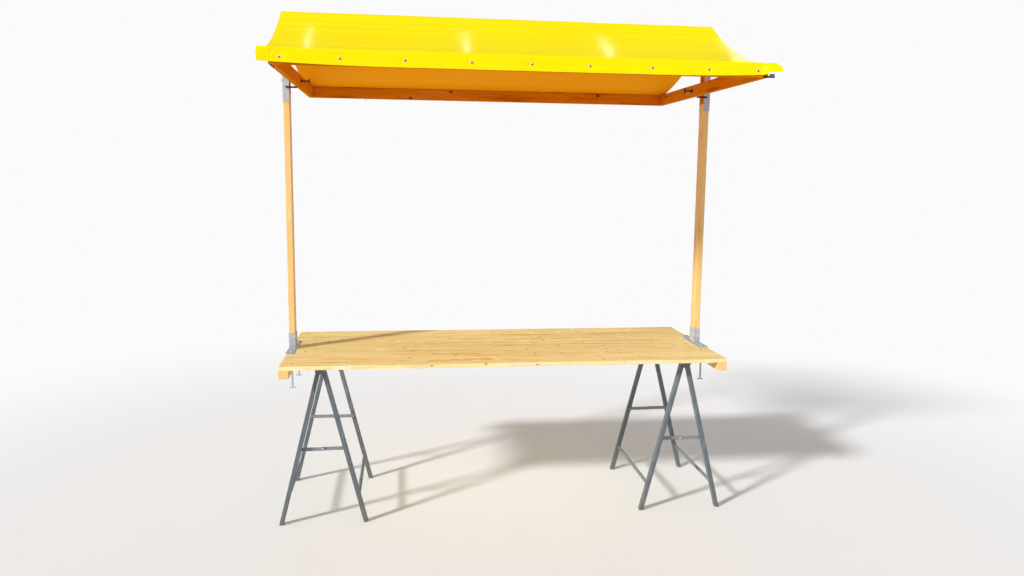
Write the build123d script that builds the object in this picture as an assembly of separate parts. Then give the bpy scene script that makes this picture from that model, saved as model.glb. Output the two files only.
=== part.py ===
"""Small market stall: a table on two folding trestles under a ridged canopy.

Everything is drawn around the post line: X to the right, Y away from the seller's
front, Z up from the ground. When it is written out, it is moved along Y so that the
origin lies on the ground in the middle of the stall's outline.
"""
from build123d import *
from math import atan2, tan
import os

# Table
table_length = 2000.0
table_depth = 800.0
table_thick = 18.0
table_top = 745.0
notch_length = 290.0
notch_depth = 35.0
batten_width = 42.0
batten_height = 37.0
batten_length = 130.0
timber_round = 2.0

# Posts and the struts that stand on them
post_width = 28.0
post_depth = 56.0
post_inset = 12.0
socket_wall = 2.0
socket_clearance = 0.5
socket_height = 69.0
foot_plate_thick = 4.0
foot_plate_overlap = 7.0
plate_corner = 5.0
fold_radius = 3.0

# Clamps that hold the sockets to the table
clamp_bar_thick = 6.0
clamp_bar_width = 80.0
clamp_bar_overhang = 15.0
screw_radius = 4.0
screw_spacing = 240.0
screw_drop = 145.0
screw_inset = 8.0
handle_radius = 3.0
handle_length = 28.0
handle_round = 1.0
hole_clearance = 0.3

# Roof frame
board_thick = 22.0
board_height = 55.0
arm_gap = 28.0
front_run = 775.0
back_run = 500.0
ridge_top = 2280.0
ridge_rise = 272.0
ridge_width = 28.0
ridge_height = 56.0
strut_below_arm = 33.0
channel_below_arm = 68.0
channel_length = 185.0
bolt_radius = 3.0
bolt_reach = 37.0
bolt_flange_thick = 4.0
bolt_handle_length = 28.0
left_handle_turn = 60.0
right_handle_turn = 12.0
bolt_head_radius = 7.0
bolt_head_height = 5.0
collar_radius = 8.0
pin_radius = 4.0
pin_reach = 8.0

# Canopy
canopy_inset = 2.0
canopy_back_overlap = 8.0
cloth_thick = 3.0
cloth_gap = 0.3
front_sag = 54.0
back_sag = 56.0

# Trestles
trestle_inset = 170.0
trestle_forward = 34.0
leg_spacing = 546.0
leg_width = 20.0
leg_depth = 25.0
leg_corner = 2.5
foot_spread = 374.0
rail_width = 22.0
rail_height = 25.0
rail_overhang = 7.0
rail_gap = 5.0
rest_gap = 0.3
stretcher_radius = 8.0
stretcher_level = 125.0
lug_thick = 3.0
lug_radius = 10.0
lug_gap = 0.5
hinge_radius = 4.0
hinge_clearance = 0.1
hinge_head_radius = 7.0
hinge_head_height = 3.0
stay_level = 340.0
stay_thick = 3.0
stay_height = 16.0
stay_gap = 2.5
stay_layer_gap = 1.0
rivet_radius = 4.0
rivet_head_radius = 6.0
rivet_head_height = 2.0

# How far a cut runs past the faces that it opens
cut_room = 1.0

# What follows from them
table_bottom = table_top - table_thick
post_spacing = table_length - 2 * post_inset
post_x = post_spacing / 2
post_inner = post_x - post_width / 2
post_outer = post_x + post_width / 2
socket_outer_x = post_outer + socket_clearance + socket_wall
socket_inner_x = post_inner - socket_clearance - socket_wall
post_foot = table_top + foot_plate_thick
arm_top = ridge_top - ridge_rise
arm_bottom = arm_top - board_height
strut_foot = arm_bottom - strut_below_arm
channel_foot = arm_bottom - channel_below_arm
canopy_width = post_spacing + post_width - 2 * canopy_inset
trestle_spacing = table_length - 2 * trestle_inset
arm_outer = post_inner - arm_gap
arm_inner = arm_outer - board_thick
frame_front = front_run + board_thick
frame_back = back_run + board_thick
front_reach = frame_front + cloth_gap + cloth_thick
back_reach = frame_back + cloth_gap + cloth_thick
centre_shift = (front_reach - back_reach) / 2
pivot_level = table_bottom - rail_height
leg_top_offset = rail_gap / 2 + leg_width / 2
leg_lean = atan2(foot_spread / 2 - leg_top_offset, pivot_level)
trestle_front = -leg_spacing / 2 - trestle_forward
trestle_rear = leg_spacing / 2 - trestle_forward


def leg_offset(level):
    """Distance of a leg's centre line from the trestle's middle plane at a height."""
    return leg_top_offset + (pivot_level - level) * tan(leg_lean)


def block(x, y, z):
    """A box from three (low, high) pairs."""
    size = (x[1] - x[0], y[1] - y[0], z[1] - z[0])
    middle = ((x[0] + x[1]) / 2, (y[0] + y[1]) / 2, (z[0] + z[1]) / 2)
    return Pos(*middle) * Box(*size)


def rounded(prism, radius):
    """A prism with its four long edges rounded."""
    return fillet(prism.edges().sort_by(SortBy.LENGTH)[-4:], radius)


def board(x, y, z):
    """A planed timber from three (low, high) pairs."""
    return rounded(block(x, y, z), timber_round)


def upright_edges(shape):
    return shape.edges().filter_by(Axis.Z)


def mirror_x(shape):
    return mirror(shape, about=Plane.YZ)


def rod_x(radius, x0, x1, y, z):
    """A round bar along X."""
    return Pos((x0 + x1) / 2, y, z) * Rot(0, 90, 0) * Cylinder(radius, abs(x1 - x0))


def rod_y(radius, y0, y1, x, z):
    """A round bar along Y."""
    return Pos(x, (y0 + y1) / 2, z) * Rot(90, 0, 0) * Cylinder(radius, abs(y1 - y0))


def rod_z(radius, z0, z1, x, y):
    """A round bar along Z."""
    return Pos(x, y, (z0 + z1) / 2) * Cylinder(radius, abs(z1 - z0))


def hexagon_x(radius, x0, x1, y, z):
    """A hexagonal head along X, its radius taken over the corners."""
    return Pos(x0, y, z) * Rot(0, 90, 0) * extrude(RegularPolygon(radius, 6), amount=x1 - x0)


def hexagon_z(radius, z0, z1, x, y):
    """A hexagonal head or nut along Z, its radius taken over the corners."""
    return Pos(x, y, z0) * extrude(RegularPolygon(radius, 6), amount=z1 - z0)


def handle(reach):
    """The bar of a T handle, upright, with its ends eased."""
    bar = Cylinder(handle_radius, reach)
    return fillet(bar.edges().filter_by(GeomType.CIRCLE), handle_round)


# Table
def tabletop():
    panel = block((-table_length / 2, table_length / 2), (-table_depth / 2, table_depth / 2),
                  (table_bottom, table_top))
    half_notch = notch_length / 2
    cut = block((table_length / 2 - notch_depth, table_length), (-half_notch, half_notch),
                (table_bottom - cut_room, table_top + cut_room))
    return panel - cut - mirror_x(cut)


def battens():
    """The two corner battens under the right end."""
    x = (table_length / 2 - batten_width, table_length / 2)
    z = (table_bottom - batten_height, table_bottom)
    front = board(x, (-table_depth / 2, -table_depth / 2 + batten_length), z)
    rear = board(x, (table_depth / 2 - batten_length, table_depth / 2), z)
    return front + rear


# Posts and their feet
def foot_socket():
    """A plate across the notch with a square socket for the post."""
    reach = notch_length / 2 + foot_plate_overlap
    plate = block((socket_inner_x, socket_outer_x), (-reach, reach), (table_top, post_foot))
    plate = fillet(upright_edges(plate), plate_corner)
    room_x = post_width / 2 + socket_clearance
    room_y = post_depth / 2 + socket_clearance
    tube = block((socket_inner_x, socket_outer_x), (-room_y - socket_wall, room_y + socket_wall),
                 (post_foot, post_foot + socket_height))
    tube = fillet(upright_edges(tube), fold_radius)
    tube -= block((post_x - room_x, post_x + room_x), (-room_y, room_y),
                  (post_foot, post_foot + socket_height + cut_room))
    shape = plate + tube
    for y in (-screw_spacing / 2, screw_spacing / 2):
        shape -= rod_z(screw_radius + hole_clearance, table_top - cut_room, post_foot + cut_room,
                       screw_x(), y)
    return shape


def screw_x():
    return post_x - screw_inset


def clamp_bar():
    """The bar under the table that the clamp screws draw up."""
    reach = notch_length / 2 + clamp_bar_overhang
    top = table_bottom
    shape = block((socket_outer_x - clamp_bar_width, socket_outer_x), (-reach, reach),
                  (top - clamp_bar_thick, top))
    shape = fillet(upright_edges(shape), plate_corner)
    for y in (-screw_spacing / 2, screw_spacing / 2):
        shape -= rod_z(screw_radius + hole_clearance, top - clamp_bar_thick - cut_room, top + cut_room,
                       screw_x(), y)
    return shape


def clamp_screws():
    """Two long screws with a T handle below and a hexagonal head on the foot plate."""
    screws = Part()
    handle_level = table_bottom - screw_drop
    for y in (-screw_spacing / 2, screw_spacing / 2):
        screw = rod_z(screw_radius, handle_level, post_foot, screw_x(), y)
        screw += hexagon_z(bolt_head_radius, post_foot, post_foot + bolt_head_height, screw_x(), y)
        nut_top = table_bottom - clamp_bar_thick
        screw += hexagon_z(bolt_head_radius, nut_top - bolt_head_height, nut_top, screw_x(), y)
        screw += Pos(screw_x(), y, handle_level) * Rot(0, 90, 0) * handle(handle_length)
        screws += screw
    return screws


def post():
    half = post_depth / 2
    return board((post_inner, post_outer), (-half, half), (post_foot, strut_foot))


def strut():
    """The short upright from the post's top to the ridge beam."""
    half = post_depth / 2
    shape = board((post_inner, post_outer), (-half, half), (strut_foot, ridge_top - ridge_height))
    hole = rod_x(bolt_radius + hole_clearance, post_inner - cut_room, post_outer + cut_room, 0, bolt_level())
    return shape - hole


def bolt_level():
    return arm_bottom + board_height / 2


def pin_level():
    return arm_bottom - pin_radius


def pin_forward():
    """How far the rest pin, which lies on the channel's front, is from the post line."""
    return post_depth / 2 + socket_clearance + socket_wall + pin_radius


def top_channel():
    """A folded channel, open towards the stall, that holds post and strut in line."""
    room_y = post_depth / 2 + socket_clearance
    z = (channel_foot, channel_foot + channel_length)
    shape = block((post_inner, socket_outer_x), (-room_y - socket_wall, room_y + socket_wall), z)
    shape = fillet(upright_edges(shape).sort_by(Axis.X)[-2:], fold_radius)
    shape -= block((post_inner - cut_room, post_outer + socket_clearance), (-room_y, room_y),
                   (z[0] - cut_room, z[1] + cut_room))
    hole = rod_x(bolt_radius + hole_clearance, post_outer, socket_outer_x + cut_room, 0, bolt_level())
    return shape - hole


def arm_bolt(turn):
    """The bolt that hangs the arm on the strut, with a collar that keeps them apart, a flange on
    the arm and a T handle turned about the bolt."""
    level = bolt_level()
    tip = arm_inner - bolt_reach
    bolt = rod_x(bolt_radius, tip, socket_outer_x, 0, level)
    bolt += hexagon_x(bolt_head_radius, socket_outer_x, socket_outer_x + bolt_head_height, 0, level)
    bolt += rod_x(collar_radius, arm_outer, post_inner, 0, level)
    bolt += rod_x(collar_radius, arm_inner - bolt_flange_thick, arm_inner, 0, level)
    return bolt + Pos(tip, 0, level) * Rot(turn, 0, 0) * handle(bolt_handle_length)


def rest_pin():
    """The pin on the channel's front that reaches under the arm, so that it can't tip forward."""
    return rod_x(pin_radius, arm_outer - pin_reach, post_x, -pin_forward(), pin_level())


# Roof frame
def arm():
    shape = board((arm_inner, arm_outer), (-front_run, frame_back), (arm_bottom, arm_top))
    hole = rod_x(bolt_radius + hole_clearance, arm_inner - cut_room, arm_outer + cut_room, 0, bolt_level())
    return shape - hole


def front_rail():
    """The rail across the arms' front ends. The cloth reaches past its ends."""
    return board((-arm_outer, arm_outer), (-frame_front, -front_run), (arm_bottom, arm_top))


def back_rail():
    return board((-arm_inner, arm_inner), (back_run, frame_back), (arm_bottom, arm_top))


def ridge_beam():
    half = ridge_width / 2
    return board((-post_outer, post_outer), (-half, half), (ridge_top - ridge_height, ridge_top))


def sagging(low, high, sag):
    """The arc between two points (y, z) that hangs below the straight line by sag."""
    middle = ((low[0] + high[0]) / 2, (low[1] + high[1]) / 2 - sag)
    return ThreePointArc(low, middle, high)


def canopy_line(lift):
    """The cloth's section as points and arcs, at a distance outside the frame."""
    half_ridge = ridge_width / 2
    front_hem = (-frame_front - lift, arm_bottom)
    front_edge = (-frame_front - lift, arm_top + lift)
    front_seat = (-front_run, arm_top + lift)
    ridge_front = (-half_ridge, ridge_top + lift)
    ridge_back = (half_ridge, ridge_top + lift)
    back_seat = (back_run, arm_top + lift)
    back_edge = (frame_back + lift, arm_top + lift)
    back_hem = (frame_back + lift, arm_bottom)
    edges = [Line(front_hem, front_edge), Line(front_edge, front_seat),
             sagging(front_seat, ridge_front, front_sag), Line(ridge_front, ridge_back),
             sagging(ridge_back, back_seat, back_sag), Line(back_seat, back_edge),
             Line(back_edge, back_hem)]
    return edges, front_hem, back_hem


def beside_back_slope():
    """What is cut away on the right, so that the cloth narrows from the ridge to the back rail."""
    wide = canopy_width / 2
    narrow = arm_outer + canopy_back_overlap
    outside = wide + cut_room
    behind = back_reach + cut_room
    outline = Polyline((wide, ridge_width / 2), (outside, ridge_width / 2), (outside, behind),
                       (narrow, behind), (narrow, back_reach), close=True)
    low = arm_bottom - cut_room
    high = ridge_top + cloth_gap + cloth_thick + cut_room
    return Pos(0, 0, low) * extrude(make_face(outline), amount=high - low)


def canopy():
    inner, inner_start, inner_end = canopy_line(cloth_gap)
    outer, outer_start, outer_end = canopy_line(cloth_gap + cloth_thick)
    closing = [Line(inner_end, outer_end), Line(outer_start, inner_start)]
    outline = Wire(inner + outer + closing)
    section = Plane.YZ * Face(outline)
    sheet = Pos(-canopy_width / 2, 0, 0) * extrude(section, amount=canopy_width, dir=(1, 0, 0))
    beside = beside_back_slope()
    return sheet - beside - mirror_x(beside)


# Trestles, drawn around their own middle plane with the seat of the rail at the pivot
def leg(side, y):
    """One leg, cut level at the ground and under its rail."""
    top = leg_offset(pivot_level)
    foot = leg_offset(0)
    half = leg_width / 2
    outline = Polyline((side * (top - half), pivot_level), (side * (top + half), pivot_level),
                       (side * (foot + half), 0), (side * (foot - half), 0), close=True)
    section = Plane.XZ * make_face(outline)
    return Pos(0, y + leg_depth / 2, 0) * rounded(extrude(section, amount=leg_depth), leg_corner)


def rail(side, drop, lug_step):
    """A top rail with a hinge lug at each end, set outwards by lug_step."""
    reach = leg_depth / 2 + rail_overhang
    y0 = trestle_front - reach
    y1 = trestle_rear + reach
    shorter = lug_gap if lug_step > 0 else 0
    near = rail_gap / 2
    x = sorted((side * near, side * (near + rail_width)))
    shape = rounded(block(x, (y0 + shorter, y1 - shorter), (pivot_level, table_bottom - drop)), leg_corner)
    for end, way in ((y0, -1), (y1, 1)):
        inside = end + way * lug_step
        outside = inside + way * lug_thick
        y = sorted((inside, outside))
        lug = rod_y(lug_radius, y[0], y[1], 0, pivot_level)
        lug += block(sorted((0, side * (near + rail_width))), y, (pivot_level, pivot_level + lug_radius))
        shape += lug
        if lug_step > 0:
            seat_x = sorted((side * (lug_radius + lug_gap), side * (near + rail_width)))
            seat_y = sorted((end - way * lug_gap, inside))
            shape += block(seat_x, seat_y, (pivot_level, pivot_level + lug_radius))
    return shape


def outer_rail(side):
    """The outer half's rail, which carries the hinge pins."""
    shape = rail(side, 0, 0)
    reach = leg_depth / 2 + rail_overhang
    for end, way in ((trestle_front - reach, -1), (trestle_rear + reach, 1)):
        pin_end = end + way * (2 * lug_thick + 2 * lug_gap)
        shape += rod_y(hinge_radius, end, pin_end, 0, pivot_level)
        shape += rod_y(hinge_head_radius, pin_end, pin_end + way * hinge_head_height, 0, pivot_level)
    return shape


def inner_rail(side):
    """The inner half's rail, whose lugs turn on the hinge pins."""
    shape = rail(-side, rest_gap, lug_thick + lug_gap)
    reach = leg_depth / 2 + rail_overhang + lug_thick + lug_gap
    for end, way in ((trestle_front - reach, -1), (trestle_rear + reach, 1)):
        shape -= rod_y(hinge_radius + hinge_clearance, end - way * cut_room,
                       end + way * (lug_thick + cut_room), 0, pivot_level)
    return shape


def stretcher(side):
    """The round tube between the two legs of one half."""
    inner_front = trestle_front + leg_depth / 2
    inner_rear = trestle_rear - leg_depth / 2
    return rod_y(stretcher_radius, inner_front, inner_rear, side * leg_offset(stretcher_level),
                 stretcher_level)


def stay_pair(side, layer):
    """The front and rear links on one half, riveted to its legs and ending at the middle."""
    links = Part()
    near = stay_gap + layer * (stay_thick + stay_layer_gap)
    far = near + stay_thick
    end = side * leg_offset(stay_level)
    half = stay_height / 2
    middle_head = (near - rivet_head_height, near) if layer == 0 else (far, far + rivet_head_height)
    for leg_y, way in ((trestle_front, 1), (trestle_rear, -1)):
        face = leg_y + way * leg_depth / 2
        y = sorted((face + way * near, face + way * far))
        link = block(sorted((0, end)), y, (stay_level - half, stay_level + half))
        for x in (0, end):
            link += rod_y(half, y[0], y[1], x, stay_level)
        link += rod_y(rivet_radius, face + way * rest_gap, face + way * far, end, stay_level)
        link += rod_y(rivet_head_radius, face + way * far, face + way * (far + rivet_head_height),
                      end, stay_level)
        link += rod_y(rivet_head_radius, face + way * middle_head[0], face + way * middle_head[1],
                      0, stay_level)
        links += link
    return links


def write(name, shape):
    export_step(Pos(0, centre_shift, 0) * shape, f"parts/{name}.step")


def main():
    os.makedirs("parts", exist_ok=True)
    write("tabletop", tabletop())
    write("front_rail", front_rail())
    write("back_rail", back_rail())
    write("ridge_beam", ridge_beam())
    write("canopy", canopy())
    uprights = {"battens": battens, "foot_socket": foot_socket, "clamp_bar": clamp_bar,
                "clamp_screws": clamp_screws, "post": post, "strut": strut, "top_channel": top_channel,
                "rest_pin": rest_pin, "arm": arm}
    for name, make in uprights.items():
        shape = make()
        write(f"right_{name}", shape)
        write(f"left_{name}", mirror_x(shape))
    write("right_arm_bolt", arm_bolt(right_handle_turn))
    write("left_arm_bolt", mirror_x(arm_bolt(left_handle_turn)))
    for hand, side in (("left", -1), ("right", 1)):
        place = Pos(side * trestle_spacing / 2, 0, 0)
        for half, way in (("outer", side), ("inner", -side)):
            write(f"{hand}_{half}_front_leg", place * leg(way, trestle_front))
            write(f"{hand}_{half}_rear_leg", place * leg(way, trestle_rear))
            write(f"{hand}_{half}_stretcher", place * stretcher(way))
        write(f"{hand}_outer_rail", place * outer_rail(side))
        write(f"{hand}_inner_rail", place * inner_rail(side))
        write(f"{hand}_outer_stays", place * stay_pair(side, 0))
        write(f"{hand}_inner_stays", place * stay_pair(-side, 1))


main()
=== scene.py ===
"""Finishes a small market stall: pine table, timber frame, hung cloth canopy, steel fittings and
folding trestles, with a plain studio and a camera around it."""
import math
import random

import bmesh
import bpy
from bpy.props import FloatProperty, FloatVectorProperty, PointerProperty
from mathutils import Matrix, Vector, noise


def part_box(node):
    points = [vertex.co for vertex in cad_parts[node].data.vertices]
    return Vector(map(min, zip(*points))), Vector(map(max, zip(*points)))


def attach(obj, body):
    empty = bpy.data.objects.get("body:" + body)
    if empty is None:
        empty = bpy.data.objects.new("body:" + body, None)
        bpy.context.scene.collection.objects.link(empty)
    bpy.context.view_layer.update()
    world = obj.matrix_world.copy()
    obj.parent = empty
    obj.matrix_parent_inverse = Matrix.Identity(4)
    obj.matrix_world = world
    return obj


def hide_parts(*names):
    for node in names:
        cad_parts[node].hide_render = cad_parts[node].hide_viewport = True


bl_info = {
    "name": "Market Stall Finisher",
    "version": (1, 0, 0),
    "blender": (4, 5, 0),
    "location": "View3D > Sidebar > Stall",
    "description": "Finishes a folding market stall with timber, steel and cloth",
    "category": "Object",
}

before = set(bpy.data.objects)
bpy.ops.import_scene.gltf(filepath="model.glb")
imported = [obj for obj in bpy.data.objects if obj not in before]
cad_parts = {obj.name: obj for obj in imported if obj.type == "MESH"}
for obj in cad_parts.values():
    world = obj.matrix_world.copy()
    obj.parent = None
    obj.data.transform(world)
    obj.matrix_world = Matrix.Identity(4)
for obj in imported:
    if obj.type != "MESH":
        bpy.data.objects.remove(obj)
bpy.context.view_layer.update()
HANDS = (("left", -1), ("right", 1))


def shown(red, green, blue):
    """A display colour, 0 to 255 a channel, as the linear one that shaders take."""
    shares = [channel / 255 for channel in (red, green, blue)]
    return tuple(s / 12.92 if s <= 0.04045 else ((s + 0.055) / 1.055) ** 2.4 for s in shares)


def tint(name, description, colour):
    return FloatVectorProperty(name=name, description=description, subtype="COLOR", size=3,
                               min=0, max=1, default=colour)


def length(name, description, value):
    return FloatProperty(name=name, description=description, default=value, min=0,
                         unit="LENGTH", subtype="DISTANCE")


def share(name, description, value):
    return FloatProperty(name=name, description=description, default=value, min=0, max=1,
                         subtype="FACTOR")


# Settings that a user would change

class TimberSettings(bpy.types.PropertyGroup):
    panel_colour: tint("Panel", "Sealed pine of the tabletop", shown(251, 229, 150))
    panel_late: tint("Panel grain", "Late wood in the tabletop", shown(218, 176, 86))
    post_colour: tint("Posts", "Planed pine of the posts", shown(246, 208, 138))
    post_late: tint("Post grain", "Late wood in the posts", shown(228, 176, 98))
    # The roof timber is the posts' pine painted darker and oranger: painted shade under the canopy and
    # painted orange light from the cloth.
    roof_shaded_colour: tint("Roof timber", "Darker timber of the roof frame", shown(220, 130, 12))
    roof_shaded_late: tint("Roof grain", "Late wood in the roof timber", shown(178, 88, 4))
    knot_colour: tint("Knots", "Heart of a knot", shown(92, 50, 22))
    # Pale fibres, partly painted glints along the grain.
    pale_fibre_and_glint_colour: tint("Pale fibres", "Fibres that shine along the grain", shown(255, 234, 188))
    stave_width: length("Stave width", "Width of a glued board in the tabletop", 0.1)
    stave_length: length("Stave length", "Length of a glued board in the tabletop", 2.4)
    ring_pitch: length("Ring pitch", "Distance between growth rings", 0.0052)
    edge_round: length("Edge rounding", "Rounding of the timber's sawn ends", 0.0016)
    gloss: share("Gloss", "How smooth the sealed timber is", 0.46)


class ClothSettings(bpy.types.PropertyGroup):
    top_colour: tint("Upper side", "Coated cloth seen from above", shown(255, 234, 0))
    # The underside's orange is painted light: a painted glow of light through the cloth, and painted shade.
    under_painted_glow_colour: tint("Underside", "Coated cloth seen from below", shown(248, 164, 0))
    thickness: length("Thickness", "Thickness of the coated cloth", 0.0008)
    wave_height: length("Wave height", "Height of the slack waves across the slopes", 0.001)
    wave_pitch: length("Wave pitch", "Distance between slack waves", 0.55)
    rib_height: length("Rib height", "Height of the fine ribs along the cloth", 0.0003)
    rib_pitch: length("Rib pitch", "Distance between the fine ribs", 0.034)
    sheen: share("Coating", "How strongly the clear coating shines", 0.2)


class SteelSettings(bpy.types.PropertyGroup):
    zinc_colour: tint("Zinc", "Galvanised sockets, channels and screws", shown(202, 209, 216))
    zinc_dark: tint("Dull zinc", "Darker spangles and stains", shown(160, 169, 181))
    # The bolts' near-black brown is partly rust, and partly painted shade and painted dark reflections.
    bolt_shade_colour: tint("Bolts", "Browned steel of the bolts and pins", shown(32, 20, 14))
    screw_colour: tint("Canopy screws", "Rusted heads of the canopy's screws", shown(112, 74, 44))
    paint_colour: tint("Trestle paint", "Blue grey paint of the trestles", shown(97, 105, 112))
    paint_worn: tint("Worn paint", "Rubbed and dusty paint", shown(138, 144, 148))
    tube_colour: tint("Stretcher paint", "Lighter paint of the stretchers and stays", shown(130, 135, 140))
    dirt_colour: tint("Dirt", "Dirt at the trestles' feet", shown(110, 108, 92))
    rust_colour: tint("Rust", "Rust where paint is chipped", shown(98, 66, 50))
    spangle: length("Spangle", "Size of the zinc's crystals", 0.011)
    thread_pitch: length("Thread pitch", "Pitch of the clamp screws' thread", 0.0016)


class StudioSettings(bpy.types.PropertyGroup):
    floor_colour: tint("Floor", "Plain pale floor", (0.88, 0.88, 0.88))
    key_strength: FloatProperty(name="Key lamp", description="Strength of the soft key lamp",
                                default=3.4, min=0)
    ambient: FloatProperty(name="Ambient", description="Even light from all round", default=0.43, min=0)
    gleam_power: FloatProperty(name="Strip lamps", description="Power of a strip lamp behind",
                               default=7, min=0, unit="POWER")


# Materials

class Recipe:
    """One material's nodes, built around its Principled shader."""

    def __init__(self, name):
        self.material = bpy.data.materials.new(name)
        self.material.use_nodes = True
        self.tree = self.material.node_tree
        self.shader = self.tree.nodes["Principled BSDF"]
        self.place = self.add("TexCoord").outputs["Object"]

    def add(self, kind, **settings):
        node = self.tree.nodes.new("ShaderNode" + kind)
        for name, value in settings.items():
            setattr(node, name, value)
        return node

    def feed(self, socket, value):
        if isinstance(value, bpy.types.NodeSocket):
            self.tree.links.new(value, socket)
        elif hasattr(value, "__len__") and len(value) == 3 and socket.type == "RGBA":
            socket.default_value = (*value, 1)
        else:
            socket.default_value = value

    def plug(self, node, **values):
        """Feeds a node's inputs by their names, with _ for a space."""
        for name, value in values.items():
            self.feed(node.inputs[name.replace("_", " ")], value)
        return node

    def stretch(self, scale, turn=(0, 0, 0), vector=None):
        node = self.plug(self.add("Mapping"), Vector=vector or self.place, Scale=scale, Rotation=turn)
        return node.outputs["Vector"]

    def noise(self, vector, scale=1.0, detail=3.0, roughness=0.5):
        node = self.plug(self.add("TexNoise"), Vector=vector, Scale=scale, Detail=detail,
                         Roughness=roughness)
        return node.outputs["Fac"]

    def cells(self, vector, scale):
        node = self.plug(self.add("TexVoronoi"), Vector=vector, Scale=scale)
        return node.outputs["Distance"], node.outputs["Color"]

    def maths(self, operation, first, second=0.0):
        node = self.add("Math", operation=operation)
        self.feed(node.inputs[0], first)
        self.feed(node.inputs[1], second)
        return node.outputs[0]

    def part(self, vector, axis):
        return self.add_linked("SeparateXYZ", vector).outputs[axis]

    def add_linked(self, kind, first):
        node = self.add(kind)
        self.feed(node.inputs[0], first)
        return node

    def between(self, value, low, high, start=0.0, end=1.0):
        """A value mapped smoothly from low to high onto start to end."""
        node = self.plug(self.add("MapRange", interpolation_type="SMOOTHSTEP"), Value=value, From_Min=low,
                         From_Max=high, To_Min=start, To_Max=end)
        return node.outputs["Result"]

    def mix(self, factor, first, second, blend="MIX"):
        node = self.add("Mix", data_type="RGBA", blend_type=blend)
        self.feed(node.inputs[0], factor)
        self.feed(node.inputs[6], first)
        self.feed(node.inputs[7], second)
        return node.outputs[2]

    def surface(self, colour, roughness, height=None, relief=0.001, **fixed):
        """Joins colour, roughness and relief to the shader, and sets what is the same all over."""
        self.feed(self.shader.inputs["Base Color"], colour)
        self.feed(self.shader.inputs["Roughness"], roughness)
        if height is not None:
            bump = self.plug(self.add("Bump"), Height=height, Distance=relief, Strength=1.0)
            self.feed(self.shader.inputs["Normal"], bump.outputs["Normal"])
        self.plug(self.shader, **fixed)
        return self.material


GRAIN_TURNS = {"X": (0, 0, 0), "Y": (0, 0, math.radians(90)), "Z": (0, math.radians(90), 0)}


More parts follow.
